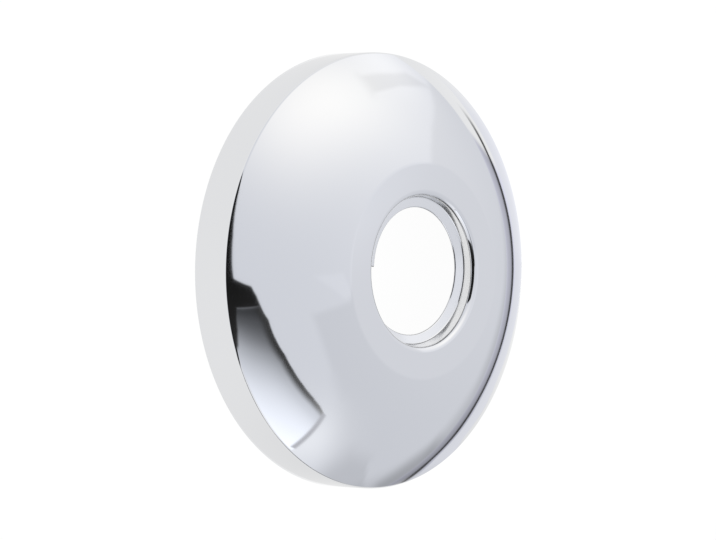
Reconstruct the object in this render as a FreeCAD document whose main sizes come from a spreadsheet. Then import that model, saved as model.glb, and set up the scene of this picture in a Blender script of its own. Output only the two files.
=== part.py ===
import FreeCAD, Part
import math
import os
import Sketcher

# A round, domed wall plate for a pipe, pressed from one thin sheet. A short side wall stands on
# the back rim, a dome rises from its crease to a flat ring, and the middle turns back into a
# collar. The collar's edge is turned in and follows one turn of a right-hand pipe thread.
# Frame: the back rim lies on z = 0, +Z leaves the front, and the origin is on the axis of the
# hole. The thread starts and ends on the -X side. All lengths are in millimetres.

SIZES = [
    ("SheetThick", 0.45, "thickness of the pressed sheet"),
    ("RimRadius", 31.75, "outside of the back rim"),
    ("CreaseRadius", 31.6, "outside of the side wall where the dome starts"),
    ("CreaseHeight", 6.0, "height of the side wall"),
    ("CreaseBend", 0.65, "radius of the front's bend between side wall and dome"),
    ("DomeRadius", 39.0, "radius of the dome's arc"),
    ("RingRadius", 15.5, "where the dome meets the flat ring"),
    ("RingHeight", 14.35, "height of the flat ring, which is the whole height"),
    ("RingBend", 1.95, "radius of the front's soft bend between dome and flat ring"),
    ("CollarRadius", 10.4, "inside of the collar's wall"),
    ("LipBend", 0.6, "radius of the front's bend between flat ring and collar"),
    ("ThreadRadius", 9.15, "inner edge of the thread turn"),
    ("ThreadPitch", 1.814, "rise of the thread in one turn, 14 turns to the inch"),
    ("ThreadThick", 0.32, "thickness of the thread turn"),
    ("ThreadDrop", 1.1, "from the flat ring down to the top of the thread's front end"),
]
SEAT_SHARE = 0.8  # share of the collar's wall that the thread turn is rooted in
LAP_SHARE = 0.25  # share of the turn's thickness by which the collar's cut edge laps it
GAP_SHARE = 0.125  # share of the turn's thickness left between the ends of the collar's cut
TRIM = 0.2  # extra stock on the thread turn, taken off when its edge is bored
SPARE = 1.0  # how far a cut runs past what it cuts
EDGE_ARCS = 12  # arcs that the bored edge of the thread is made of
NEAR = 1e-3  # how close a circle lies to the corner that made it

# The middle of the turn's thickness at its front end and at its deep end.
THREAD_START = "(Sizes.RingHeight - Sizes.ThreadDrop - Sizes.ThreadThick / 2)"
THREAD_END = f"({THREAD_START} - Sizes.ThreadPitch)"

doc = FreeCAD.newDocument("ThreadedEscutcheon")
sheet = doc.addObject("Spreadsheet::Sheet", "Sizes")
for row, (alias, value, note) in enumerate(SIZES, start=1):
    sheet.set(f"A{row}", note)
    sheet.set(f"B{row}", str(value))
    sheet.setAlias(f"B{row}", alias)
doc.recompute()

body = doc.addObject("PartDesign::Body", "Escutcheon")
body.Label = "escutcheon"
body.Placement = FreeCAD.Placement()


def size(alias):
    """The value of one cell of the sheet."""
    return float(sheet.get(alias))


def point(x, y):
    """A point of a sketch."""
    return FreeCAD.Vector(x, y, 0)


def origin_plane(role):
    """One of the body's own origin planes."""
    return next(item for item in body.Origin.OriginFeatures if item.Role == role)


def new_sketch(name, role):
    """An empty sketch on one of the body's origin planes."""
    sketch = body.newObject("Sketcher::SketchObject", name)
    sketch.AttachmentSupport = (origin_plane(role), [""])
    sketch.MapMode = "FlatFace"
    return sketch


def fix(sketch, *constraint):
    """Add a constraint that no size drives."""
    sketch.addConstraint(Sketcher.Constraint(*constraint))


def drive(sketch, name, formula, *constraint):
    """Add a constraint whose value follows the sheet."""
    index = sketch.addConstraint(Sketcher.Constraint(*constraint))
    sketch.renameConstraint(index, name)
    sketch.setExpression(f"Constraints.{name}", formula)


def arc_centre(outer, inner, radius):
    """Centre of the arc of this radius through both points, on the side of the axis."""
    chord = inner - outer
    reach = math.sqrt(radius**2 - (chord.Length / 2) ** 2)
    inward = FreeCAD.Vector(-chord.y, chord.x, 0).normalize()
    return (outer + inner) * 0.5 + inward * reach


def dome_arc(centre, radius, outer, inner):
    """The dome's arc about this centre, from the crease up to the flat ring."""
    angles = [math.atan2(end.y - centre.y, end.x - centre.x) for end in (outer, inner)]
    circle = Part.Circle(centre, FreeCAD.Vector(0, 0, 1), radius)
    return Part.ArcOfCircle(circle, *angles)


def crease_arc(centre, rim, crease):
    """The crease's bend, tangent to the side wall and to the dome's arc about this centre."""
    bend, up = size("CreaseBend"), (crease - rim).normalize()
    inward = point(-up.y, up.x)
    start = rim + inward * bend - centre
    rise = math.sqrt((size("DomeRadius") - bend) ** 2 - (start * inward) ** 2) - start * up
    away = start + up * rise
    circle = Part.Circle(centre + away, FreeCAD.Vector(0, 0, 1), bend)
    return Part.ArcOfCircle(circle, math.atan2(-inward.y, -inward.x), math.atan2(away.y, away.x))


def section_sketch():
    """The section of the pressed sheet, before its flat ring is rounded off and the thread is made."""
    thick, top = size("SheetThick"), size("RingHeight")
    across, down = point(thick, 0), point(0, -thick)
    rim, crease = point(size("RimRadius"), 0), point(size("CreaseRadius"), size("CreaseHeight"))
    ring_out, ring_in = point(size("RingRadius"), top), point(size("CollarRadius"), top)
    collar = point(size("CollarRadius"), top - size("ThreadDrop") - size("ThreadPitch"))
    centre = arc_centre(crease, ring_out, size("DomeRadius"))
    bend_arc = crease_arc(centre, rim, crease)
    crease_in, ring_under, collar_out = crease - across + down, ring_out + down, ring_in + across + down
    sketch = new_sketch("Section", "XZ_Plane")
    items = {
        "wall": Part.LineSegment(rim, bend_arc.StartPoint),
        "bend": bend_arc,
        "dome": dome_arc(centre, size("DomeRadius"), bend_arc.EndPoint, ring_out),
        "ring": Part.LineSegment(ring_out, ring_in),
        "bore": Part.LineSegment(ring_in, collar),
        "edge": Part.LineSegment(collar, collar + across),
        "bore_back": Part.LineSegment(collar + across, collar_out),
        "ring_back": Part.LineSegment(collar_out, ring_under),
        "dome_back": dome_arc(centre, size("DomeRadius") - thick, crease_in, ring_under),
        "wall_back": Part.LineSegment(crease_in, rim - across),
        "foot": Part.LineSegment(rim - across, rim),
    }
    index = dict(zip(items, sketch.addGeometry(list(items.values()), False)))
    wall, bend, dome, ring, bore, edge, bore_back, ring_back, dome_back, wall_back, foot = index.values()
    corner = sketch.addGeometry(Part.Point(crease), True)
    for item, following in ((wall, bend), (bend, dome)):
        fix(sketch, "Tangent", item, 2, following, 1)
    for item in (wall, dome):
        fix(sketch, "PointOnObject", corner, 1, item)
    around = [dome, ring, bore, edge, bore_back, ring_back]
    for item, following in zip(around, around[1:]):
        fix(sketch, "Coincident", item, 2, following, 1)
    fix(sketch, "Coincident", ring_back, 2, dome_back, 2)
    fix(sketch, "Coincident", dome_back, 1, wall_back, 1)
    fix(sketch, "Coincident", wall_back, 2, foot, 1)
    fix(sketch, "Coincident", foot, 2, wall, 1)
    for item in (ring, ring_back, edge, foot):
        fix(sketch, "Horizontal", item)
    for item in (bore, bore_back):
        fix(sketch, "Vertical", item)
    fix(sketch, "Parallel", wall, wall_back)
    fix(sketch, "Coincident", dome, 3, dome_back, 3)
    fix(sketch, "PointOnObject", wall, 1, -1)
    drive(sketch, "rim_radius", "Sizes.RimRadius", "DistanceX", -1, 1, wall, 1, rim.x)
    drive(sketch, "crease_radius", "Sizes.CreaseRadius", "DistanceX", -1, 1, corner, 1, crease.x)
    drive(sketch, "crease_height", "Sizes.CreaseHeight", "DistanceY", -1, 1, corner, 1, crease.y)
    drive(sketch, "crease_bend", "Sizes.CreaseBend", "Radius", bend, size("CreaseBend"))
    drive(sketch, "dome_radius", "Sizes.DomeRadius", "Radius", dome, size("DomeRadius"))
    drive(sketch, "ring_radius", "Sizes.RingRadius", "DistanceX", -1, 1, dome, 2, ring_out.x)
    drive(sketch, "ring_height", "Sizes.RingHeight", "DistanceY", -1, 1, dome, 2, ring_out.y)
    drive(sketch, "collar_radius", "Sizes.CollarRadius", "DistanceX", -1, 1, ring, 2, ring_in.x)
    lapped_end = f"{THREAD_END} + {LAP_SHARE} * Sizes.ThreadThick"
    drive(sketch, "collar_end", lapped_end, "DistanceY", -1, 1, bore, 2, collar.y)
    drive(sketch, "collar_thick", "Sizes.SheetThick", "DistanceX", edge, 1, edge, 2, thick)
    drive(sketch, "ring_thick", "Sizes.SheetThick", "DistanceY", ring_back, 2, dome, 2, thick)
    back_radius = "Sizes.DomeRadius - Sizes.SheetThick"
    drive(sketch, "dome_back_radius", back_radius, "Radius", dome_back, size("DomeRadius") - thick)
    drive(sketch, "wall_thick", "Sizes.SheetThick", "Distance", wall_back, 1, wall, thick)
    return sketch, index


def block_sketch(name, inner, outer, low, high):
    """A rectangle on the -X side, where the thread starts. Its four sides are formulas on the sheet."""
    near, far, top = size("ThreadRadius"), size("CollarRadius"), size("RingHeight")
    base = top - size("ThreadPitch")
    corners = [point(-near, base), point(-near, top), point(-far, top), point(-far, base)]
    sides = [Part.LineSegment(a, b) for a, b in zip(corners, corners[1:] + corners[:1])]
    sketch = new_sketch(name, "XZ_Plane")
    up, out, back_down, home = sketch.addGeometry(sides, False)
    for item, following in ((up, out), (out, back_down), (back_down, home), (home, up)):
        fix(sketch, "Coincident", item, 2, following, 1)
    for item in (up, back_down):
        fix(sketch, "Vertical", item)
    for item in (out, home):
        fix(sketch, "Horizontal", item)
    drive(sketch, "inner", inner, "DistanceX", up, 1, -1, 1, near)
    drive(sketch, "outer", outer, "DistanceX", back_down, 1, -1, 1, far)
    drive(sketch, "low", low, "DistanceY", -1, 1, up, 1, base)
    drive(sketch, "high", high, "DistanceY", -1, 1, up, 2, top)
    return sketch


def edge_sketch():
    """The circle of the thread's inner edge, made of equal arcs."""
    radius, step = size("ThreadRadius"), 2 * math.pi / EDGE_ARCS
    circle = Part.Circle(point(0, 0), FreeCAD.Vector(0, 0, 1), radius)
    sketch = new_sketch("ThreadEdge", "XY_Plane")
    arcs = [Part.ArcOfCircle(circle, step * k, step * (k + 1)) for k in range(EDGE_ARCS)]
    sketch.addGeometry(arcs, False)
    for item in range(EDGE_ARCS):
        fix(sketch, "Coincident", item, 3, -1, 1)
    for item in range(EDGE_ARCS - 1):
        fix(sketch, "Coincident", item, 2, item + 1, 1)
        fix(sketch, "Angle", item, step)
    for item, end in ((0, 1), (EDGE_ARCS - 1, 2)):
        fix(sketch, "PointOnObject", item, end, -1)
    drive(sketch, "edge_radius", "Sizes.ThreadRadius", "Radius", 0, radius)
    return sketch


def round_corner(base, name, formula, corner):
    """Round the full circle that this corner of the section made on the base feature."""
    names = []
    for number, edge in enumerate(base.Shape.Edges, start=1):
        curve = edge.Curve
        if not isinstance(curve, Part.Circle) or len(edge.Vertexes) != 1:
            continue
        if math.hypot(curve.Radius - corner.x, curve.Center.z - corner.y) < NEAR:
            names.append(f"Edge{number}")
    fillet = body.newObject("PartDesign::Fillet", name)
    fillet.Base = (base, names)
    fillet.setExpression("Radius", formula)
    doc.recompute()
    return fillet


def one_turn(kind, name, sketch):
    """Sweep a sketch through one right-hand turn that rises by the thread's pitch."""
    turn = body.newObject(kind, name)
    turn.Profile = sketch
    turn.ReferenceAxis = (sketch, ["V_Axis"])
    turn.Mode = "pitch-turns-angle"
    turn.setExpression("Pitch", "Sizes.ThreadPitch")
    turn.Turns = 1
    turn.Angle = 0
    turn.LeftHanded = False
    turn.Reversed = False
    turn.Refine = False
    doc.recompute()
    return turn


def pressed_shell():
    """The plain shell: the section turned about the axis, with the flat ring's two corners rounded."""
    section, index = section_sketch()
    shell = body.newObject("PartDesign::Revolution", "PressedShell")
    shell.Profile = section
    shell.ReferenceAxis = (section, ["V_Axis"])
    shell.Angle = 360
    doc.recompute()
    for bend, item in (("RingBend", "dome"), ("LipBend", "ring")):
        shell = round_corner(shell, bend, f"Sizes.{bend}", section.Geometry[index[item]].EndPoint)


def thread_turn():
    """Cut the collar's edge back along the thread, then add the turned-in edge and bore it to size."""
    wall_outside = "Sizes.CollarRadius + Sizes.SheetThick"
    cut = block_sketch(
        "CollarCut",
        f"Sizes.CollarRadius - {SPARE}",
        f"{wall_outside} + {SPARE}",
        f"{THREAD_END} - Sizes.ThreadPitch + {GAP_SHARE} * Sizes.ThreadThick",
        THREAD_END,
    )
    one_turn("PartDesign::SubtractiveHelix", "CollarEdge", cut)
    turned_in = block_sketch(
        "ThreadSection",
        f"Sizes.ThreadRadius - {TRIM}",
        f"Sizes.CollarRadius + {SEAT_SHARE} * Sizes.SheetThick",
        f"{THREAD_END} - Sizes.ThreadThick / 2",
        f"{THREAD_END} + Sizes.ThreadThick / 2",
    )
    one_turn("PartDesign::AdditiveHelix", "ThreadTurn", turned_in)
    bore = body.newObject("PartDesign::Pocket", "ThreadBore")
    bore.Profile = edge_sketch()
    bore.Type = "ThroughAll"
    bore.SideType = "Symmetric"
    bore.Refine = False
    body.Tip = bore
    doc.recompute()


def check(document):
    """Stop if an object failed or its shape is missing or broken."""
    for item in document.Objects:
        failed = {"Invalid", "Error"} & set(item.State)
        if failed:
            raise RuntimeError(f"{item.Name} is {sorted(failed)}")
    if body.Shape.isNull() or not body.Shape.isValid() or len(body.Shape.Solids) != 1:
        raise RuntimeError(f"{body.Label} is not one valid solid")


pressed_shell()
thread_turn()
check(doc)
os.makedirs("parts", exist_ok=True)
body.Shape.exportStep(os.path.join("parts", f"{body.Label}.step"))
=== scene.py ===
"""Studio scene of a chrome escutcheon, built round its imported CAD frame.

The plate lies on its back rim with +Z up. It is one pressed sheet, turned here as a fine mesh with
the thread's own edge, and it stands in for the frame's coarser node. The camera looks from the -X
side and is rolled, so that +Z points to the right of the picture. Everything is in metres.
"""

import logging
import math
from dataclasses import dataclass, field
from enum import Enum
from typing import Sequence

import bpy
from mathutils import Matrix, Vector


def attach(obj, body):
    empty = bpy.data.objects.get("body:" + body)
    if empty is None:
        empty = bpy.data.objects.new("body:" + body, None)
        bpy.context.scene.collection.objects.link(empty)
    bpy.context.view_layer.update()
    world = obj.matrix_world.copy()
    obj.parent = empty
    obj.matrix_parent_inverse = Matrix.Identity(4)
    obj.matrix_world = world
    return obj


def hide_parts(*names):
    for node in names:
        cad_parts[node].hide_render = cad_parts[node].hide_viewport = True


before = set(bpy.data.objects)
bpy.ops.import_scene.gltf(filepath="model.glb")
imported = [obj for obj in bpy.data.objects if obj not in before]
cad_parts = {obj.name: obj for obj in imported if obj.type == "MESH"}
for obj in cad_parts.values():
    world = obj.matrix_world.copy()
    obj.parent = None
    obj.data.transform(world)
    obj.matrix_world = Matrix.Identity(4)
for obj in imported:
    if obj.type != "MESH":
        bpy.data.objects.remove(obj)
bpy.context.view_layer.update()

log = logging.getLogger("escutcheon_scene")

MM = 0.001
CAD_NODE = "escutcheon"
BODY = "root"
PHOTO_WIDTH, PHOTO_HEIGHT = 716, 540
EVEN = ((0.0, 1.0), (1.0, 1.0))


def new_piece(name: str, places: Sequence[Vector], faces: Sequence[Sequence[int]]) -> bpy.types.Object:
    """Make a mesh object and put it into the scene.

    Args:
        name: Name of the object and its mesh.
        places: Places of its vertices.
        faces: Vertex numbers of each face.

    Returns:
        The object.
    """
    mesh = bpy.data.meshes.new(name)
    mesh.from_pydata(places, [], faces)
    piece = bpy.data.objects.new(name, mesh)
    bpy.context.scene.collection.objects.link(piece)
    return piece


class Side(Enum):
    """The side of the sheet that a face belongs to. The value is its material slot."""

    FRONT = 0
    BACK = 1
    THREAD = 2


class Sight(Enum):
    """The outputs of the Light Path node by which a ray sees the white studio."""

    CAMERA = "Is Camera Ray"
    GLOSSY = "Is Glossy Ray"
    TRANSMISSION = "Is Transmission Ray"


@dataclass(frozen=True)
class SectionPoint:
    """One point of the sheet's section, with the way that its surface faces.

    Attributes:
        radius: Distance from the axis.
        height: Height above the back rim.
        out: Outward part of the unit normal.
        up: Upward part of the unit normal.
    """

    radius: float
    height: float
    out: float
    up: float

    def behind(self, depth: float) -> "SectionPoint":
        """The matching point on the sheet's other side, this far in."""
        place = (self.radius - self.out * depth, self.height - self.up * depth)
        return SectionPoint(*place, -self.out, -self.up)


def arc(centre: Sequence[float], radius: float, start: float, end: float, steps: int) -> list[SectionPoint]:
    """Points along an arc of the section.

    Args:
        centre: Radius and height of the arc's centre.
        radius: The arc's radius. A negative one makes a hollow arc that faces its centre.
        start: Angle of the first point in degrees, from the outward direction towards up.
        end: Angle of the last point in degrees.
        steps: Number of equal steps.

    Returns:
        The points from start to end, both included.
    """
    points = []
    facing = math.copysign(1.0, radius)
    for step in range(steps + 1):
        angle = math.radians(start + (end - start) * step / steps)
        out, up = math.cos(angle), math.sin(angle)
        place = (centre[0] + abs(radius) * out, centre[1] + abs(radius) * up)
        points.append(SectionPoint(*place, facing * out, facing * up))
    return points


@dataclass
class PressedPlate:
    """The escutcheon: one thin sheet with a side wall, a dome, a flat ring, a collar and a thread edge.

    The main sizes are those of the CAD part. The lip's bend, the two leans and the small rounds are
    finer here. The thread starts and ends on the -X side and is one right-hand turn of the collar's
    own edge.

    Attributes:
        sheet_thick: Thickness of the sheet.
        rim_radius: Radius of the side wall at its foot.
        crease_radius: Radius at which the side wall and the dome would meet in a sharp crease.
        crease_height: Height of that crease above the back rim.
        crease_bend: Bend between the side wall and the dome.
        dome_radius: Radius of the dome's arc.
        ring_radius: Radius at which the dome and the flat ring would meet.
        ring_height: Height of the flat ring above the back rim.
        ring_bend: Bend between the dome and the flat ring.
        collar_radius: Radius of the collar's wall at its deepest place.
        lip_bend: Bend between the flat ring and the collar.
        collar_lean: Degrees by which the collar's wall opens towards the front.
        thread_radius: Radius of the thread's inner edge.
        thread_pitch: Rise of the thread in one turn.
        thread_thick: Thickness of the turned-in edge.
        thread_drop: Depth of the thread's front end below the flat ring.
        ledge_lean: Degrees by which the thread's upper face falls towards the axis.
        root_bend: Hollow bend between the collar's wall and the thread's upper face.
        heel_bend: Bend between the thread's underside and the collar's back.
        edge_round: Round on the thread's upper edge.
        burr_round: Round on the thread's lower edge.
        foot_round: Round on both edges of the foot.
        columns: Mesh steps round the plate.
        dome_steps: Mesh steps across the dome.
        bend_steps: Mesh steps across each bend of the front.
        round_steps: Mesh steps across the thread's root and its upper edge.
        burr_steps: Mesh steps across the thread's lower edge.
        heel_steps: Mesh steps across the heel.
        foot_steps: Mesh steps across the outer edge of the foot.
        inner_foot_steps: Mesh steps across the inner edge of the foot.
    """

    sheet_thick: float = 0.45 * MM
    rim_radius: float = 31.75 * MM
    crease_radius: float = 31.6 * MM
    crease_height: float = 6.0 * MM
    crease_bend: float = 0.65 * MM
    dome_radius: float = 39.0 * MM
    ring_radius: float = 15.5 * MM
    ring_height: float = 14.35 * MM
    ring_bend: float = 1.95 * MM
    collar_radius: float = 10.4 * MM
    lip_bend: float = 0.95 * MM
    collar_lean: float = 10.0
    thread_radius: float = 9.15 * MM
    thread_pitch: float = 1.814 * MM
    thread_thick: float = 0.32 * MM
    thread_drop: float = 1.1 * MM
    ledge_lean: float = 17.0
    root_bend: float = 0.3 * MM
    heel_bend: float = 0.38 * MM
    edge_round: float = 0.25 * MM
    burr_round: float = 0.06 * MM
    foot_round: float = 0.12 * MM
    columns: int = 480
    dome_steps: int = 40
    bend_steps: int = 12
    round_steps: int = 6
    burr_steps: int = 3
    heel_steps: int = 5
    foot_steps: int = 5
    inner_foot_steps: int = 4

    def dome_centre(self) -> tuple[float, float]:
        """Find the centre of the dome's arc.

        Returns:
            Its radius, which is below zero past the axis, and its height.
        """
        across = self.ring_radius - self.crease_radius
        rise = self.ring_height - self.crease_height
        chord = math.hypot(across, rise)
        reach = math.sqrt(self.dome_radius**2 - (chord / 2) ** 2)
        middle = ((self.crease_radius + self.ring_radius) / 2, (self.crease_height + self.ring_height) / 2)
        return middle[0] - rise / chord * reach, middle[1] + across / chord * reach

    def front(self) -> list[SectionPoint]:
        """The sheet's front from the foot, over the dome and the flat ring, to the collar's wall.

        Returns:
            Points with a smooth run of normals. The last one is where the lip meets the collar.
        """
        lean = math.atan2(self.rim_radius - self.crease_radius, self.crease_height)
        lean_in = math.radians(self.collar_lean)
        wall_out, wall_up = math.cos(lean), math.sin(lean)
        centre = self.dome_centre()
        bend = self.crease_bend
        # The bend's centre lies one bend radius inside both the wall's line and the dome's arc.
        base = (self.rim_radius - bend * wall_out - centre[0], -bend * wall_up - centre[1])
        ahead = -base[0] * wall_up + base[1] * wall_out
        aside = base[0] * wall_out + base[1] * wall_up
        rise = math.sqrt((self.dome_radius - bend) ** 2 - aside**2) - ahead
        away = (base[0] - wall_up * rise, base[1] + wall_out * rise)
        crease_angle = math.degrees(math.atan2(away[1], away[0]))
        crease_centre = (centre[0] + away[0], centre[1] + away[1])
        # The soft bend between the dome and the flat ring touches both of them.
        ring_centre_height = self.ring_height - self.ring_bend
        ring_lift = ring_centre_height - centre[1]
        ring_reach = math.sqrt((self.dome_radius - self.ring_bend) ** 2 - ring_lift**2)
        ring_angle = math.degrees(math.atan2(ring_lift, ring_reach))
        ring_centre = (centre[0] + ring_reach, ring_centre_height)
        lip_height = self.ring_height - self.lip_bend
        lip_centre = (self.wall_radius(lip_height) + self.lip_bend / math.cos(lean_in), lip_height)
        foot_centre = (self.rim_radius - self.foot_round, self.foot_round)
        return [
            *arc(foot_centre, self.foot_round, -90, math.degrees(lean), self.foot_steps),
            *arc(crease_centre, bend, math.degrees(lean), crease_angle, self.bend_steps),
            *arc(centre, self.dome_radius, crease_angle, ring_angle, self.dome_steps)[1:],
            *arc(ring_centre, self.ring_bend, ring_angle, 90, self.bend_steps)[1:],
            *arc(lip_centre, self.lip_bend, 90, 180 - self.collar_lean, self.bend_steps),
        ]

    def wall_radius(self, height: float) -> float:
        """Radius of the collar's wall, which opens a little towards the front."""
        deep_root = self.ring_height - self.thread_drop - self.thread_pitch
        return self.collar_radius + (height - deep_root) * math.tan(math.radians(self.collar_lean))

    def thread_edge(self, share: float) -> list[SectionPoint]:
        """The turned-in edge between the collar's wall and its back.

        Args:
            share: How far round the turn, from 0 at the deep end to 1 at the front end.

        Returns:
            Points down from the collar's wall, in to the thread's edge and out to the collar's back.
        """
        top = self.ring_height - self.thread_drop - self.thread_pitch * (1 - share)
        low = top - self.thread_thick
        root_height = top + self.root_bend
        root = self.wall_radius(root_height) - self.root_bend / math.cos(math.radians(self.collar_lean))
        crest = self.thread_radius + self.edge_round
        burr = self.thread_radius + self.burr_round
        back = self.collar_radius + self.sheet_thick - self.heel_bend
        # The ledge touches the bend at its root and the round on its edge.
        slope = math.radians(self.ledge_lean)
        rounds = self.root_bend + self.edge_round
        fall = (root - crest) * math.tan(slope) + rounds * (1 - 1 / math.cos(slope))
        edge_top = top - fall
        edge_low = edge_top - self.thread_thick
        root_end, edge_start = self.ledge_lean - 90, self.ledge_lean + 90
        return [
            *arc((root, root_height), -self.root_bend, -self.collar_lean, root_end, self.round_steps),
            *arc((crest, edge_top - self.edge_round), self.edge_round, edge_start, 180, self.round_steps),
            *arc((burr, edge_low + self.burr_round), self.burr_round, 180, 270, self.burr_steps),
            SectionPoint(self.collar_radius, low, 0, -1),
            *arc((back, low + self.heel_bend), self.heel_bend, -90, 0, self.heel_steps),
        ]

    def plate_section(self) -> tuple[list[SectionPoint], int]:
        """The part of the section that is the same all the way round.

        Returns:
            The points from the collar's back, under the dome to the foot and over the front to the
            collar's wall, and the number of them on the back.
        """
        front = self.front()
        back = [point.behind(self.sheet_thick) for point in reversed(front[self.foot_steps:])]
        inner_foot = self.rim_radius - self.sheet_thick + self.foot_round
        back[-1:] = arc((inner_foot, self.foot_round), self.foot_round, 180, 270, self.inner_foot_steps)
        return back + front, len(back)

    def build(self) -> bpy.types.Object:
        """Turn the section round the axis and close the two ends of the thread.

        Returns:
            The plate as one mesh object, with the slots of its three finishes marked on its faces.
        """
        plate, back_count = self.plate_section()
        edges = [self.thread_edge(column / self.columns) for column in range(self.columns + 1)]
        places: list[Vector] = []
        facings: list[Vector] = []
        climb = self.thread_pitch / math.tau

        def add(point: SectionPoint, column: int, rising: float) -> int:
            """Put one section point into the mesh.

            Args:
                point: The point.
                column: The step round the plate.
                rising: Rise of its row for each radian of the turn.

            Returns:
                The number of the new vertex.
            """
            angle = math.tau * column / self.columns - math.pi
            out = Vector((math.cos(angle), math.sin(angle), 0))
            side = Vector((-math.sin(angle), math.cos(angle), 0))
            places.append(out * point.radius + Vector((0, 0, point.height)))
            tilt = -point.up * rising / point.radius
            facings.append((out * point.out + side * tilt + Vector((0, 0, point.up))).normalized())
            return len(places) - 1

        fixed = [[add(point, column, 0) for column in range(self.columns)] for point in plate]
        moving = [
            [add(edges[column][item], column, climb) for column in range(self.columns + 1)]
            for item in range(len(edges[0]))
        ]
        rows = [row + row[:1] for row in fixed] + moving + [fixed[0] + fixed[0][:1]]
        heel = len(plate) + len(moving) - self.heel_steps - 1
        # The satin strips are the collar's wall, the thread's upper face and its underside.
        satin = (len(plate) - 1, len(plate) + self.round_steps, heel - 2, heel - 1)
        faces: list[tuple[int, ...]] = []
        sides: list[Side] = []
        loops: list[Vector] = []
        for item, (row, following) in enumerate(zip(rows, rows[1:])):
            side = Side.BACK if item < back_count - 1 or item >= heel else Side.FRONT
            if item in satin:
                side = Side.THREAD
            for column in range(self.columns):
                face = (row[column], row[column + 1], following[column + 1], following[column])
                faces.append(face)
                sides.append(side)
                loops.extend(facings[corner] for corner in face)
        for face, facing in self.end_faces(moving):
            faces.append(face)
            sides.append(Side.THREAD)
            loops.extend([facing] * len(face))
        piece = new_piece("escutcheon_plate", places, faces)
        piece.data.polygons.foreach_set("material_index", [side.value for side in sides])
        piece.data.polygons.foreach_set("use_smooth", [True] * len(faces))
        piece.data.normals_split_custom_set(loops)
        piece.data.validate()
        piece.data.update()
        return piece

    def end_faces(self, moving: list[list[int]]) -> list[tuple[tuple[int, ...], Vector]]:
        """The two cut ends of the thread on the -X side.

        Args:
            moving: The vertex numbers of the turned-in edge, one row for each point of its section.

        Returns:
            The corners and the facing of the front end and of the deep end.
        """
        deep = [row[0] for row in moving]
        high = [row[-1] for row in moving]
        heel = len(moving) - self.heel_steps - 1
        front_end = tuple(high[:heel])
        deep_end = tuple([high[heel - 1], *deep, *reversed(high[heel:])])
        return [(front_end, Vector((0, -1, 0))), (tuple(reversed(deep_end)), Vector((0, 1, 0)))]


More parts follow.
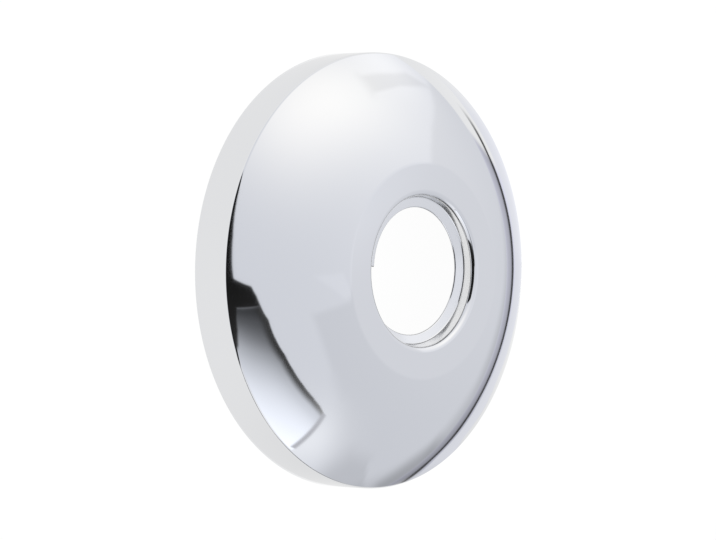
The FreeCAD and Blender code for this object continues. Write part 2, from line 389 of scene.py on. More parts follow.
@dataclass(frozen=True)
class NodeTree:
    """A thin helper round a node tree.

    Attributes:
        tree: The tree that nodes are added to.
    """

    tree: bpy.types.NodeTree

    def add(self, kind: str, **settings: object) -> bpy.types.Node:
        """Add a node and set its properties or inputs.

        Args:
            kind: The node's type name.
            settings: Property names, or input names with underscores for spaces.

        Returns:
            The new node.
        """
        node = self.tree.nodes.new(kind)
        for name, value in settings.items():
            if hasattr(node, name):
                setattr(node, name, value)
            else:
                node.inputs[name.replace("_", " ")].default_value = value
        return node

    def link(self, source: bpy.types.NodeSocket, target: bpy.types.NodeSocket) -> None:
        """Join an output to an input."""
        self.tree.links.new(source, target)

    def math(self, operation: str, first: object, second: object) -> bpy.types.NodeSocket:
        """Add a Math node whose inputs are sockets or numbers.

        Args:
            operation: The node's operation.
            first: A socket or a number.
            second: A socket or a number.

        Returns:
            The node's output.
        """
        node = self.tree.nodes.new("ShaderNodeMath")
        node.operation = operation
        for slot, value in enumerate((first, second)):
            if isinstance(value, bpy.types.NodeSocket):
                self.link(value, node.inputs[slot])
            else:
                node.inputs[slot].default_value = value
        return node.outputs[0]

    def profile(
        self, value: bpy.types.NodeSocket, stops: Sequence[tuple[float, float]]
    ) -> bpy.types.NodeSocket:
        """Follow a smooth line through a few stops.

        Args:
            value: A value between 0 and 1.
            stops: Places from 0 to 1, each with the result there. The first is at 0 and the last at 1.

        Returns:
            The result.
        """
        peak = max(height for _, height in stops)
        node = self.tree.nodes.new("ShaderNodeFloatCurve")
        curve = node.mapping.curves[0]
        curve.points[0].location = (stops[0][0], stops[0][1] / peak)
        curve.points[-1].location = (stops[-1][0], stops[-1][1] / peak)
        for place, height in stops[1:-1]:
            curve.points.new(place, height / peak)
        node.mapping.update()
        self.link(value, node.inputs["Value"])
        return self.math("MULTIPLY", node.outputs["Value"], peak)

    def fade_in(self, distance: bpy.types.NodeSocket, reach: float) -> bpy.types.NodeSocket:
        """Go smoothly from 0 to 1.

        Args:
            distance: The distance from the place where the result is 0.
            reach: The distance at which it is 1.

        Returns:
            The result.
        """
        node = self.tree.nodes.new("ShaderNodeMapRange")
        node.interpolation_type = "SMOOTHSTEP"
        self.link(distance, node.inputs["Value"])
        node.inputs["From Max"].default_value = reach
        return node.outputs["Result"]

    def spread(self, value: bpy.types.NodeSocket, low: float, high: float) -> bpy.types.NodeSocket:
        """Map a value between 0 and 1 to a range.

        Args:
            value: The value to map.
            low: The result at 0.
            high: The result at 1.

        Returns:
            The mapped value.
        """
        node = self.add("ShaderNodeMapRange", clamp=True)
        self.link(value, node.inputs["Value"])
        node.inputs["To Min"].default_value = low
        node.inputs["To Max"].default_value = high
        return node.outputs["Result"]

    def noise(
        self, place: bpy.types.NodeSocket, scale: float, **settings: float
    ) -> bpy.types.NodeSocket:
        """Add a noise texture.

        Args:
            place: The place on the piece.
            scale: Its patches to a metre.
            settings: More of the node's inputs.

        Returns:
            The noise, between 0 and 1.
        """
        node = self.add("ShaderNodeTexNoise", Scale=scale, **settings)
        self.link(place, node.inputs["Vector"])
        return node.outputs["Fac"]

    def bump(self, height: bpy.types.NodeSocket, distance: float) -> bpy.types.Node:
        """Add a bump whose own normal input is still free.

        Args:
            height: The pattern that stands up, between 0 and 1.
            distance: How far it stands up where the pattern is 1.

        Returns:
            The bump node.
        """
        node = self.add("ShaderNodeBump", Distance=distance)
        self.link(height, node.inputs["Height"])
        return node

    def surface(self, shader: bpy.types.NodeSocket) -> None:
        """Use a shader as the material's surface."""
        output = self.add("ShaderNodeOutputMaterial")
        self.link(shader, output.inputs["Surface"])


def new_material(name: str) -> tuple[bpy.types.Material, NodeTree]:
    """Make an empty node material.

    Args:
        name: The material's name.

    Returns:
        The material and a helper round its tree.
    """
    material = bpy.data.materials.new(name)
    material.use_nodes = True
    material.node_tree.nodes.clear()
    return material, NodeTree(material.node_tree)


@dataclass(frozen=True)
class BrightChrome:
    """Bright chrome plate on pressed sheet: a clear mirror, a little uneven as pressed metal is.

    Attributes:
        colour: Reflected colour of the plating.
        gloss: Lowest and highest roughness.
        clouds: Patches of roughness to a metre.
        sheet_wave: Height of the sheet's own unevenness.
        waves: Its waves to a metre.
        polish: Height of the fine polishing marks.
        marks: Polishing marks to a metre.
    """

    colour: tuple[float, float, float] = (0.740, 0.746, 0.760)
    gloss: tuple[float, float] = (0.025, 0.07)
    clouds: float = 90.0
    sheet_wave: float = 0.0005 * MM
    waves: float = 160.0
    polish: float = 0.00002 * MM
    marks: float = 9000.0

    def material(self) -> bpy.types.Material:
        """Make the finish's material.

        Returns:
            A material whose roughness and bump vary with the place on the plate.
        """
        material, nodes = new_material("bright_chrome")
        shader = nodes.add("ShaderNodeBsdfPrincipled", Metallic=1.0, Base_Color=(*self.colour, 1))
        place = nodes.add("ShaderNodeTexCoord").outputs["Object"]
        clouds = nodes.noise(place, self.clouds, Detail=4.0, Roughness=0.55)
        nodes.link(nodes.spread(clouds, *self.gloss), shader.inputs["Roughness"])
        wave = nodes.bump(nodes.noise(place, self.waves, Detail=1.0), self.sheet_wave)
        marks = nodes.bump(nodes.noise(place, self.marks, Detail=2.0), self.polish)
        nodes.link(wave.outputs["Normal"], marks.inputs["Normal"])
        nodes.link(marks.outputs["Normal"], shader.inputs["Normal"])
        nodes.surface(shader.outputs["BSDF"])
        return material


@dataclass(frozen=True)
class SatinChrome:
    """The collar's inside and the thread, which are plated but not polished.

    Attributes:
        colour: Reflected colour of the plating, a little paler than the front's, which paints light onto
            the collar's inside.
        gloss: Lowest and highest roughness.
        clouds: Patches of roughness to a metre.
        grain: Height of the marks that the forming tool left.
        marks: Those marks to a metre.
    """

    # Paler than the bright front's colour: painted light that lightens the collar's wall and thread, on top
    # of the real satin roughness.
    colour: tuple[float, float, float] = (0.80, 0.805, 0.815)
    gloss: tuple[float, float] = (0.13, 0.19)
    clouds: float = 400.0
    grain: float = 0.00015 * MM
    marks: float = 6000.0

    def material(self) -> bpy.types.Material:
        """Make the finish's material.

        Returns:
            A satin metal whose roughness and fine marks vary with the place on the collar.
        """
        material, nodes = new_material("satin_chrome")
        shader = nodes.add("ShaderNodeBsdfPrincipled", Metallic=1.0, Base_Color=(*self.colour, 1))
        place = nodes.add("ShaderNodeTexCoord").outputs["Object"]
        clouds = nodes.noise(place, self.clouds, Detail=3.0)
        nodes.link(nodes.spread(clouds, *self.gloss), shader.inputs["Roughness"])
        marks = nodes.bump(nodes.noise(place, self.marks, Detail=2.0), self.grain)
        nodes.link(marks.outputs["Normal"], shader.inputs["Normal"])
        nodes.surface(shader.outputs["BSDF"])
        return material


@dataclass(frozen=True)
class ThinChrome:
    """The unpolished back, where the plating is thin over the drawn sheet.

    Attributes:
        pale: Colour where the plating is full.
        dull: Colour where it is thin.
        gloss: Lowest and highest roughness.
        clouds: Patches of thick and thin plating to a metre.
        grain: Height of the drawn sheet's grain.
        grains: The grain's patches to a metre.
    """

    pale: tuple[float, float, float] = (0.60, 0.60, 0.60)
    dull: tuple[float, float, float] = (0.42, 0.415, 0.405)
    gloss: tuple[float, float] = (0.28, 0.46)
    clouds: float = 120.0
    grain: float = 0.004 * MM
    grains: float = 5200.0

    def material(self) -> bpy.types.Material:
        """Make the finish's material.

        Returns:
            A satin metal with cloudy plating and a fine grain.
        """
        material, nodes = new_material("thin_chrome")
        shader = nodes.add("ShaderNodeBsdfPrincipled", Metallic=1.0)
        place = nodes.add("ShaderNodeTexCoord").outputs["Object"]
        clouds = nodes.noise(place, self.clouds, Detail=6.0, Roughness=0.6)
        tone = nodes.add("ShaderNodeMix", data_type="RGBA")
        colour_inputs = [item for item in tone.inputs if item.type == "RGBA"]
        colour_inputs[0].default_value = (*self.pale, 1)
        colour_inputs[1].default_value = (*self.dull, 1)
        nodes.link(clouds, tone.inputs["Factor"])
        colour = next(item for item in tone.outputs if item.type == "RGBA")
        nodes.link(colour, shader.inputs["Base Color"])
        nodes.link(nodes.spread(clouds, *self.gloss), shader.inputs["Roughness"])
        grain = nodes.bump(nodes.noise(place, self.grains, Detail=3.0), self.grain)
        nodes.link(grain.outputs["Normal"], shader.inputs["Normal"])
        nodes.surface(shader.outputs["BSDF"])
        return material


@dataclass(frozen=True)
class Escutcheon:
    """The whole object: the pressed plate in its three finishes, in place of the frame's node.

    Attributes:
        plate: The pressed sheet.
        front: Finish of the side wall, the dome, the flat ring and the lip.
        back: Finish of the whole back.
        thread: Finish of the collar's wall and the thread.
    """

    plate: PressedPlate = field(default_factory=PressedPlate)
    front: BrightChrome = field(default_factory=BrightChrome)
    back: ThinChrome = field(default_factory=ThinChrome)
    thread: SatinChrome = field(default_factory=SatinChrome)

    def build(self) -> bpy.types.Object:
        """Make and dress the plate and hang it on the frame.

        Returns:
            The finished plate.
        """
        piece = self.plate.build()
        for finish in (self.front, self.back, self.thread):
            piece.data.materials.append(finish.material())
        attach(piece, BODY)
        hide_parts(CAD_NODE)
        return piece


def direction(azimuth: float, elevation: float) -> Vector:
    """Unit vector towards a place in the studio.

    Args:
        azimuth: Degrees from +X towards +Y.
        elevation: Degrees above the floor.

    Returns:
        The direction from the plate.
    """
    turn, lift = math.radians(azimuth), math.radians(elevation)
    return Vector((math.cos(turn) * math.cos(lift), math.sin(turn) * math.cos(lift), math.sin(lift)))


def along(line: Sequence[tuple[float, float]], share: float) -> tuple[float, float]:
    """A place on a line of azimuths and elevations.

    Args:
        line: The corners of the line.
        share: How far along, from 0 to 1, with equal shares for all its parts.

    Returns:
        The azimuth and the elevation there.
    """
    reach = share * (len(line) - 1)
    part = min(int(reach), len(line) - 2)
    rest = reach - part
    (first_turn, first_lift), (next_turn, next_lift) = line[part], line[part + 1]
    return first_turn + (next_turn - first_turn) * rest, first_lift + (next_lift - first_lift) * rest


@dataclass(frozen=True)
class Card:
    """A glowing card of the studio that only the metal sees.

    Attributes:
        name: The card's name.
        tint: Colour of its light.
        along: Places from 0 to 1 between its two ends, each with the brightness there. White is 1.
        across: Places from 0 to 1 between its lower and upper edge, each with a factor for it.
        soft: Share of the card that fades out at its start, end, upper and lower edge.
        columns: Mesh steps between its ends.
        rows: Mesh steps between its lower and upper edge.
    """

    name: str
    tint: tuple[float, float, float]
    along: tuple[tuple[float, float], ...]
    across: tuple[tuple[float, float], ...]
    soft: tuple[float, float, float, float]
    columns: int = field(default=96, kw_only=True)
    rows: int = field(default=24, kw_only=True)

    def place(self, share: float, height: float) -> Vector:
        """Find a point of the card.

        Args:
            share: Its share of the way from the card's start to its end.
            height: Its share of the way from the lower edge to the upper edge.

        Returns:
            The point's place.
        """
        raise NotImplementedError

    def build(self) -> bpy.types.Object:
        """Make the card.

        Returns:
            A sheet with its glow, hidden from the camera, from shadows and from diffuse light.
        """
        width = self.columns + 1
        spots = [
            (column / self.columns, row / self.rows)
            for row in range(self.rows + 1)
            for column in range(width)
        ]
        faces = []
        for row in range(self.rows):
            for column in range(self.columns):
                corner = row * width + column
                faces.append((corner, corner + 1, corner + width + 1, corner + width))
        card = new_piece(self.name, [self.place(*spot) for spot in spots], faces)
        layer = card.data.uv_layers.new(name="card")
        for loop in card.data.loops:
            layer.data[loop.index].uv = spots[loop.vertex_index]
        card.data.materials.append(self.material())
        hide_but_from_metal(card)
        return card

    def material(self) -> bpy.types.Material:
        """Make the card's glow, which follows its tones and fades out at its edges.

        Returns:
            An emission that turns clear towards the card's soft edges.
        """
        material, nodes = new_material(self.name)
        material.cycles.emission_sampling = "NONE"
        spot = nodes.add("ShaderNodeUVMap", uv_map="card").outputs["UV"]
        parts = nodes.add("ShaderNodeSeparateXYZ")
        nodes.link(spot, parts.inputs["Vector"])
        share, height = parts.outputs["X"], parts.outputs["Y"]
        glow = nodes.add("ShaderNodeEmission", Color=(*self.tint, 1))
        tone = nodes.math("MULTIPLY", nodes.profile(share, self.along), nodes.profile(height, self.across))
        nodes.link(tone, glow.inputs["Strength"])
        cover: object = 1.0
        ends = (share, nodes.math("SUBTRACT", 1.0, share), nodes.math("SUBTRACT", 1.0, height), height)
        for distance, fade in zip(ends, self.soft):
            if fade > 0:
                cover = nodes.math("MULTIPLY", cover, nodes.fade_in(distance, fade))
        clear = nodes.add("ShaderNodeBsdfTransparent")
        blend = nodes.add("ShaderNodeMixShader", Fac=1.0)
        if isinstance(cover, bpy.types.NodeSocket):
            nodes.link(cover, blend.inputs["Fac"])
        nodes.link(clear.outputs["BSDF"], blend.inputs[1])
        nodes.link(glow.outputs["Emission"], blend.inputs[2])
        nodes.surface(blend.outputs["Shader"])
        return material


@dataclass(frozen=True)
class DomeCard(Card):
    """A card that curves round the plate, far away, between an upper and a lower edge.

    Attributes:
        upper: Azimuth and elevation of the corners of its upper edge.
        lower: The same for its lower edge.
        reach: Distance from the plate.
    """

    upper: tuple[tuple[float, float], ...] = ()
    lower: tuple[tuple[float, float], ...] = ()
    reach: float = 1.0

    def place(self, share: float, height: float) -> Vector:
        """Find a point of the card.

        Args:
            share: Its share of the way from the card's start to its end.
            height: Its share of the way from the lower edge to the upper edge.

        Returns:
            The point's place.
        """
        high, low = along(self.upper, share), along(self.lower, share)
        turn = low[0] + (high[0] - low[0]) * height
        lift = low[1] + (high[1] - low[1]) * height
        return direction(turn, lift) * self.reach


@dataclass(frozen=True)
class FloorCard(Card):
    """A card that lies on the floor as part of a ring, with its rows closer together near the plate.

    Attributes:
        line: Azimuth and radius of the corners of the line that the ring follows.
        near: Share of the line's radius at which the card starts.
        far: Times that share at which it ends.
        lift: Height above the floor.
    """

    line: tuple[tuple[float, float], ...] = ()
    near: float = 0.5
    far: float = 32.0
    lift: float = 0.1 * MM

    def place(self, share: float, height: float) -> Vector:
        """Find a point of the card.

        Args:
            share: Its share of the way from the card's start to its end.
            height: Its share of the way from the lower edge to the upper edge.

        Returns:
            The point's place.
        """
        turn, radius = along(self.line, share)
        flat = direction(turn, 0) * radius * self.near * self.far**height
        return flat + Vector((0, 0, self.lift))


@dataclass(frozen=True)
class SoftLamp:
    """A lamp behind the tent's cloth that makes a soft round patch of light on it.

    Attributes:
        azimuth: Place of the patch's middle.
        elevation: Place of the patch's middle.
        spread: Its size in degrees.
        light: Colour and brightness that it adds there.
    """

    azimuth: float
    elevation: float
    spread: float
    light: tuple[float, float, float]

    def share(self, facing: Vector) -> float:
        """Share of the lamp's light that reaches the cloth in a direction."""
        angle = math.degrees(facing.angle(direction(self.azimuth, self.elevation)))
        return math.exp(-((angle / self.spread) ** 2) / 2)


@dataclass(frozen=True)
class Scrim:
    """A flag behind the tent's cloth that dims a part of it, seen as a soft-edged patch.

    Attributes:
        name: What the patch looks like.
        dims: Share of the light that it takes. A negative share adds light.
        corners: Azimuth and elevation of its corners, each with the softness in degrees of the edge
            that starts there.
    """

    name: str
    dims: float
    corners: tuple[tuple[float, float, float], ...]

    def share(self, azimuth: float, elevation: float) -> float:
        """Share of the scrim's effect at a place on the cloth.

        Args:
            azimuth: Degrees from +X towards +Y.
            elevation: Degrees above the floor.

        Returns:
            0 well outside the scrim, 1 well inside it and a soft step at its edges.
        """
        spot = flat_place(azimuth, elevation)
        inside = False
        nearest = 1.0
        flat = [(flat_place(turn, lift), soft) for turn, lift, soft in self.corners]
        for (start, soft), (end, _) in zip(flat, flat[1:] + flat[:1]):
            if (start.y > spot.y) != (end.y > spot.y):
                crossing = start.x + (end.x - start.x) * (spot.y - start.y) / (end.y - start.y)
                inside = inside != (spot.x < crossing)
            run = end - start
            part = min(max((spot - start).dot(run) / run.length_squared, 0.0), 1.0)
            nearest = min(nearest, (spot - start - run * part).length / soft)
        step = min(max(0.5 + (nearest if inside else -nearest), 0.0), 1.0)
        return step * step * (3 - 2 * step)


def flat_place(azimuth: float, elevation: float) -> Vector:
    """Place on a flat chart of the tent, in degrees from its top."""
    turn = math.radians(azimuth)
    return Vector((math.cos(turn), math.sin(turn))) * (90 - elevation)


@dataclass(frozen=True)
class Tent:
    """The white cloth tent round the plate, which only the metal sees.

    Attributes:
        cloth: Colour and brightness of the cloth away from the lamps.
        lamps: The lamps behind it.
        scrims: The flags and folds that show on it.
        reach: Its distance from the plate.
        turns: Mesh steps round it.
        foot: Elevation of its lower edge, in whole degrees.
        top: Elevation of its top.
    """

    cloth: tuple[float, float, float]
    lamps: tuple[SoftLamp, ...]
    scrims: tuple[Scrim, ...]
    reach: float = 1.3
    turns: int = 360
    foot: int = -2
    top: int = 90

    def light(self, azimuth: float, elevation: float) -> Vector:
        """Add up the light at a place on the cloth.

        Args:
            azimuth: Degrees from +X towards +Y.
            elevation: Degrees above the floor.

        Returns:
            The colour and brightness there.
        """
        facing = direction(azimuth, elevation)
        total = Vector(self.cloth)
        for lamp in self.lamps:
            total += Vector(lamp.light) * lamp.share(facing)
        for scrim in self.scrims:
            total *= 1 - scrim.dims * scrim.share(azimuth, elevation)
        return total

    def build(self) -> bpy.types.Object:
        """Make the tent with its light stored on the points of its mesh.

        Returns:
            A dome, hidden from the camera, from shadows and from diffuse light.
        """
        turns = self.turns
        spots = [
            (360 * turn / turns, lift) for lift in range(self.foot, self.top + 1) for turn in range(turns)
        ]
        faces = []
        for row in range(self.top - self.foot):
            for turn in range(turns):
                corner, beside = row * turns + turn, row * turns + (turn + 1) % turns
                faces.append((corner, beside, beside + turns, corner + turns))
        tent = new_piece("tent", [direction(*spot) * self.reach for spot in spots], faces)
        light = tent.data.color_attributes.new("light", "FLOAT_COLOR", "POINT")
        for item, spot in zip(light.data, spots):
            item.color = (*self.light(*spot), 1.0)
        tent.data.materials.append(self.material())
        hide_but_from_metal(tent)
        patches = ", ".join(scrim.name for scrim in self.scrims)
        log.info("the tent has %d lamps and these patches: %s", len(self.lamps), patches)
        return tent

    def material(self) -> bpy.types.Material:
        """Make the cloth's glow.

        Returns:
            An emission of the light that is stored on the mesh.
        """
        material, nodes = new_material("tent_cloth")
        material.cycles.emission_sampling = "NONE"
        light = nodes.add("ShaderNodeAttribute", attribute_name="light")
        glow = nodes.add("ShaderNodeEmission", Strength=1.0)
        nodes.link(light.outputs["Color"], glow.inputs["Color"])
        nodes.surface(glow.outputs["Emission"])
        return material


def hide_but_from_metal(piece: bpy.types.Object) -> None:
    """Hide a piece from the camera, from shadows and from diffuse light, so that reflections see it.

    Args:
        piece: The piece to hide.
    """
    piece.visible_camera = False
    piece.visible_shadow = False
    piece.visible_diffuse = False


def seen_as_white(nodes: NodeTree) -> bpy.types.NodeSocket:
    """Tell the kinds of ray that see the white studio from the others.

    Args:
        nodes: The tree to add to.

    Returns:
        A value of 1 for those rays and 0 for the others.
    """
    path = nodes.add("ShaderNodeLightPath")
    total: object = 0.0
    for sight in Sight:
        total = nodes.math("MAXIMUM", total, path.outputs[sight.value])
    return total


@dataclass(frozen=True)
class WhiteFloor:
    """The plain white floor, which keeps a faint shadow.

    Attributes:
        radius: Size of the floor.
        corners: Corners of its outline.
        glow: Share of its white that is there without light.
        paint: Colour of the part that takes light and shadow.
    """

    radius: float = 1.5
    corners: int = 64
    glow: float = 0.95
    paint: float = 0.09

    def build(self) -> bpy.types.Object:
        """Make the floor under the back rim.

        Returns:
            A round sheet.
        """
        corners = range(self.corners)
        places = [direction(360 * corner / self.corners, 0) * self.radius for corner in corners]
        floor = new_piece("floor", places, [tuple(corners)])
        floor.data.materials.append(self.material())
        return floor

    def material(self) -> bpy.types.Material:
        """Make the floor's white, which is clear from below.

        Returns:
            A diffuse white with a glow for the rays that see the studio.
        """
        material, nodes = new_material("white_floor")
        paint = nodes.add("ShaderNodeBsdfDiffuse", Color=(self.paint, self.paint, self.paint, 1))
        glow = nodes.add("ShaderNodeEmission")
        nodes.link(nodes.math("MULTIPLY", seen_as_white(nodes), self.glow), glow.inputs["Strength"])
        both = nodes.add("ShaderNodeAddShader")
        nodes.link(paint.outputs["BSDF"], both.inputs[0])
        nodes.link(glow.outputs["Emission"], both.inputs[1])
        below = nodes.add("ShaderNodeNewGeometry").outputs["Backfacing"]
        clear = nodes.add("ShaderNodeBsdfTransparent")
        blend = nodes.add("ShaderNodeMixShader")
        nodes.link(below, blend.inputs["Fac"])
        nodes.link(both.outputs["Shader"], blend.inputs[1])
        nodes.link(clear.outputs["BSDF"], blend.inputs[2])
        nodes.surface(blend.outputs["Shader"])
        return material


@dataclass(frozen=True)
class Studio:
    """Floor, white surroundings and the cards that the chrome mirrors.

    Attributes:
        floor: The white floor.
        fill: Brightness that the plate and the floor are lit with.
        plain: Tint of the dark cards and of the floor's shade near the plate.
        cool: Tint of the rod and of the dim floor inside its seam.
        shade: Tint of the shaded panel.
        dusk: Tint of the floor beyond its seam.
    """

    floor: WhiteFloor = field(default_factory=WhiteFloor)
    fill: float = 0.8
    plain: tuple[float, float, float] = (1.0, 1.0, 1.0)
    cool: tuple[float, float, float] = (0.98, 0.992, 1.06)
    shade: tuple[float, float, float] = (0.965, 1.0, 1.08)
    dusk: tuple[float, float, float] = (0.97, 0.98, 1.12)

    def tent(self) -> Tent:
        """Hang the tent.

        Returns:
            The tent with its soft key light on the +Y side, its fill lamps on the -Y side and the
            faint flags and folds of its cloth.
        """
        return Tent(
            cloth=(0.833, 0.853, 0.910),
            lamps=(
                SoftLamp(66, 28, 17, (0.29, 0.27, 0.21)),
                SoftLamp(97, 40, 18, (0.31, 0.285, 0.235)),
                SoftLamp(26, 30, 28, (0.14, 0.135, 0.13)),
                SoftLamp(50, 6, 9, (0.22, 0.21, 0.19)),
                SoftLamp(285, 34, 9, (0.22, 0.22, 0.21)),
                SoftLamp(255, 12, 14, (0.40, 0.39, 0.36)),
            ),
            scrims=(
                Scrim("lower flag", 0.089, (
                    (273.5, 76.7, 2.0), (339, 71, 2.0), (351, 68, 2.5), (4, 43.2, 2.5), (1.5, 10, 2.5),
                    (1.5, -40, 3), (293, -40, 14), (298, 46, 8), (295, 57, 4),
                )),
                Scrim("side flag", 0.096, (
                    (4, 43.2, 2.5), (28, 33.5, 2.5), (31.5, 29, 2.5), (34.3, 21.5, 3.0), (35, 10, 3),
                    (38, -40, 3), (1.5, -40, 2.5), (1.5, 10, 2.5),
                )),
                Scrim("fold", 0.11, (
                    (56.5, 26.2, 1.2), (51.5, 21.6, 1.3), (46, 15.3, 1.5), (39, 7.5, 2.5), (36, 3.5, 2.5),
                    (43, 6, 2), (47, 10.5, 2), (53.5, 15.7, 2.5), (60.5, 20.5, 8),
                )),
                Scrim("low corner", 0.14, (
                    (296, 19, 14), (304, 26, 10), (311, 20, 1.5), (313, 8, 1.5), (315, -10, 5),
                    (292, -10, 9), (292, 10, 9),
                )),
                Scrim("skirt", 0.22, (
                    (14, -2, 8), (2, 1.5, 8), (345, 4, 10), (330, 4, 12), (300, 4, 12), (300, -40, 6),
                    (14, -40, 6),
                )),
                Scrim("low fold", 0.25, (
                    (318, 5, 8), (326, 6.5, 8), (334, 5, 8), (338, -8, 6), (316, -8, 6),
                )),
                Scrim("foot", 0.8, (
                    (222, 6, 4), (262, 6, 4), (298, 6, 4), (308, 0, 3), (308, -12, 4), (262, -12, 4),
                    (222, -12, 4),
                )),
                Scrim("bright fold", -0.045, (
                    (270, 88, 1.5), (338, 73, 1.5), (346, 70.5, 1.5), (0, 76, 1.5),
                )),
            ),
        )

    def upright_cards(self) -> list[Card]:
        """The cards that stand on the -X side, in front of the tent.

        Returns:
            The dark card, the shaded panel, the panel's dark edge and its rod.
        """
        dark = DomeCard(
            "dark_card", self.plain, ((0.0, 0.025), (0.8, 0.02), (0.95, 0.04), (1.0, 0.12)), EVEN,
            (0.04, 0.04, 0.012, 0.1),
            upper=(
                (138, 47.5), (147, 49.7), (156, 51.5), (165, 53), (174, 53.8), (182, 54.3), (189.5, 54.8),
                (196, 62), (204, 63.5), (212, 64), (220, 64.2), (230, 62),
            ),
            lower=((138, 3), (230, 3)), reach=1.1,
        )
        crown = (
            (211.5, 63.3), (225, 64.3), (241.5, 62.1), (253.5, 60.3), (263.8, 57.2), (273.3, 53.6),
            (281.2, 49.9), (286.2, 46.8), (289.3, 43.6),
        )
        panel = DomeCard(
            "shaded_panel", self.shade,
            (
                (0.0, 0.17), (0.008, 0.17), (0.016, 0.07), (0.1, 0.09), (0.22, 0.2), (0.36, 0.44),
                (0.5, 0.75), (0.66, 1.02), (0.82, 1.17), (1.0, 1.23),
            ),
            ((0.0, 1.2), (0.3, 1.08), (0.5, 1.0), (0.65, 0.9), (0.8, 0.75), (1.0, 0.6)),
            (0, 0, 0.02, 0.06),
            upper=crown,
            lower=(
                (206.4, 53.5), (212, 52), (218, 50.8), (225, 48.3), (234, 43.5), (244.6, 39), (259.1, 34),
                (270, 29.5), (280, 27.5),
            ),
            reach=1.0,
        )
        edge = DomeCard(
            "panel_edge", self.plain,
            ((0.0, 0.05), (0.3, 0.05), (0.5, 0.07), (0.7, 0.13), (0.85, 0.25), (1.0, 0.5)), EVEN,
            (0.02, 0.02, 0.08, 0.75),
            upper=crown,
            lower=(
                (210, 60.3), (224.3, 60), (240.5, 57.7), (253, 55.8), (263, 52.7), (272.5, 49.2),
                (280.5, 46), (285.5, 43.2), (288.5, 41),
            ),
            reach=0.98,
        )
        rod = DomeCard(
            "panel_rod", self.cool, ((0.0, 0.62), (1.0, 0.62)), EVEN, (0.4, 0.4, 0.03, 0.03),
            upper=((287.4, 44.6), (290.9, 43.2)), lower=((277.9, 29), (281.8, 28.4)), reach=0.95,
        )
        return [dark, panel, edge, rod]

    def floor_cards(self) -> list[Card]:
        """The seam of the floor on the +X side and the shades that lie on the floor.

        Returns:
            The dim floor beyond the seam, the seam itself, a dim corner, the plate's own shade close
            to its rim and the shades between the rim and the seam.
        """
        seam_line = (
            (38, 0.071), (32, 0.075), (25, 0.082), (18, 0.079), (12, 0.076), (4, 0.077), (-4, 0.082),
            (-12, 0.089), (-20, 0.092), (-28, 0.088), (-36, 0.092), (-44, 0.080), (-62, 0.080),
        )
        dim_line = tuple(spot for spot in seam_line if spot[0] <= 18)
        dim_floor = FloorCard(
            "dim_floor", self.dusk,
            ((0.0, 1.0), (0.3, 1.0), (0.53, 0.9), (0.63, 0.79), (0.75, 0.72), (1.0, 0.68)),
            (
                (0.0, 0.84), (0.08, 0.86), (0.156, 0.9), (0.198, 0.86), (0.222, 0.42), (0.241, 0.2),
                (0.255, 0.055), (0.271, 0.055), (0.285, 0.15), (0.299, 0.25), (0.319, 0.4), (0.344, 0.48),
                (0.376, 0.53), (0.543, 0.61), (0.861, 0.74), (1.0, 0.78),
            ),
            (0.1, 0.15, 0, 0.05), line=((26, 0.081), (22, 0.081), *dim_line), rows=160,
        )
        seam = FloorCard(
            "floor_seam", self.plain, ((0.0, 0.06), (1.0, 0.06)), EVEN, (0.14, 0.15, 0.4, 0.35),
            line=seam_line, near=1.03, far=1.42, lift=0.15 * MM,
        )
        corner = FloorCard(
            "dim_corner", self.plain, ((0.0, 0.93), (1.0, 0.88)), EVEN, (0.35, 0.05, 0, 0.1),
            line=((215, 0.08), (302, 0.08)),
        )
        contact = FloorCard(
            "contact_shade", self.plain,
            (
                (0.0, 0.88), (0.1, 0.93), (0.2, 0.99), (0.35, 1.0), (0.62, 1.0), (0.72, 0.95),
                (0.82, 0.885), (1.0, 0.85),
            ),
            EVEN, (0.03, 0.04, 0.3, 0), line=((82, 0.032), (302, 0.032)), near=1.0, far=1.25,
        )
        side = FloorCard(
            "side_shade", self.cool, ((0.0, 0.91), (1.0, 0.93)), EVEN, (0.1, 0.4, 0.15, 0),
            line=((4, 0.077), (54, 0.07)), far=1.9, lift=0.13 * MM,
        )
        rim = FloorCard(
            "rim_shade", self.plain, ((0.0, 1.0), (0.3, 0.92), (1.0, 0.92)), EVEN, (0.2, 0.1, 0, 0),
            line=((2, 0.04), (-60, 0.04)), near=0.85, far=1.4, lift=0.05 * MM,
        )
        low = FloorCard(
            "low_floor", self.cool, ((0.0, 0.88), (0.8, 0.86), (1.0, 0.83)), EVEN, (0.15, 0.15, 0.15, 0.2),
            line=(*dim_line[:-1], (-54, 0.08)), far=1.9, lift=0.12 * MM,
        )
        return [dim_floor, seam, corner, contact, side, rim, low]

    def build(self) -> None:
        """Put up the floor, the tent, the cards and the surroundings, and report each."""
        for part in (self.floor, self.tent(), *self.upright_cards(), *self.floor_cards()):
            log.info("%s is up", part.build().name)
        self.surroundings()

    def surroundings(self) -> None:
        """White for the rays that see the studio, and a softer fill for the rest."""
        world = bpy.data.worlds.new("white_studio")
        world.use_nodes = True
        world.node_tree.nodes.clear()
        nodes = NodeTree(world.node_tree)
        white = nodes.add("ShaderNodeBackground", Color=(1, 1, 1, 1), Strength=1.0)
        fill = nodes.add("ShaderNodeBackground", Color=(1, 1, 1, 1), Strength=self.fill)
        blend = nodes.add("ShaderNodeMixShader")
        nodes.link(seen_as_white(nodes), blend.inputs["Fac"])
        nodes.link(fill.outputs["Background"], blend.inputs[1])
        nodes.link(white.outputs["Background"], blend.inputs[2])
        output = nodes.add("ShaderNodeOutputWorld")
        nodes.link(blend.outputs["Shader"], output.inputs["Surface"])
        bpy.context.scene.world = world


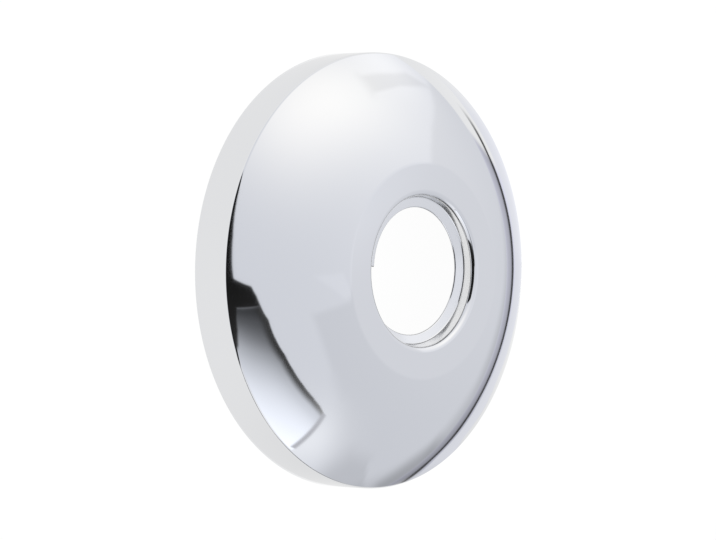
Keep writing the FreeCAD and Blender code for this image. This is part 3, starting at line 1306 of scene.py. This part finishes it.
@dataclass(frozen=True)
class ProductCamera:
    """The camera at the photograph's place, worked out from the outline of the plate.

    Attributes:
        azimuth: Turn of the view about the picture's upright, in degrees.
        elevation: Lift of the view, in degrees.
        roll: Roll of the picture, in degrees.
        distance: Distance from the plate's origin.
        pixel: Picture pixels to a metre at that distance.
        centre: Picture place of the origin.
        sensor: Sensor width in millimetres.
        clip: Nearest and farthest distance that it sees.
    """

    azimuth: float = 46.70
    elevation: float = -2.33
    roll: float = 3.14
    distance: float = 0.400
    pixel: float = 6821.0
    centre: tuple[float, float] = (352.16, 270.01)
    sensor: float = 36.0
    clip: tuple[float, float] = (0.01, 10.0)

    def build(self) -> bpy.types.Object:
        """Make the camera and use it for the scene.

        Returns:
            The camera object.
        """
        turn, lift, roll = (math.radians(item) for item in (self.azimuth, self.elevation, self.roll))
        back = Vector((-math.sin(turn) * math.cos(lift), math.sin(lift), math.cos(turn) * math.cos(lift)))
        level = Vector((0, 1, 0)).cross(back).normalized()
        upright = back.cross(level)
        right = level * math.cos(roll) + upright * math.sin(roll)
        top = upright * math.cos(roll) - level * math.sin(roll)
        data = bpy.data.cameras.new("product_camera")
        data.sensor_width = self.sensor
        data.lens = self.pixel * self.distance * self.sensor / PHOTO_WIDTH
        data.shift_x = (PHOTO_WIDTH / 2 - self.centre[0]) / PHOTO_WIDTH
        data.shift_y = (self.centre[1] - PHOTO_HEIGHT / 2) / PHOTO_WIDTH
        data.clip_start, data.clip_end = self.clip
        camera = bpy.data.objects.new("product_camera", data)
        turned = Matrix((right, top, back)).transposed().to_4x4()
        camera.matrix_world = Matrix.Translation(back * self.distance) @ turned
        bpy.context.scene.collection.objects.link(camera)
        bpy.context.scene.camera = camera
        return camera


def main() -> None:
    """Build the plate, the studio and the camera in order."""
    logging.basicConfig(level=logging.INFO, format="%(name)s: %(message)s")
    piece = Escutcheon().build()
    log.info("%s has %d faces", piece.name, len(piece.data.polygons))
    Studio().build()
    camera = ProductCamera().build()
    log.info("%s has a lens of %.1f mm", camera.name, camera.data.lens)
    bpy.context.scene.view_settings.view_transform = "Standard"


if __name__ == "__main__":
    main()
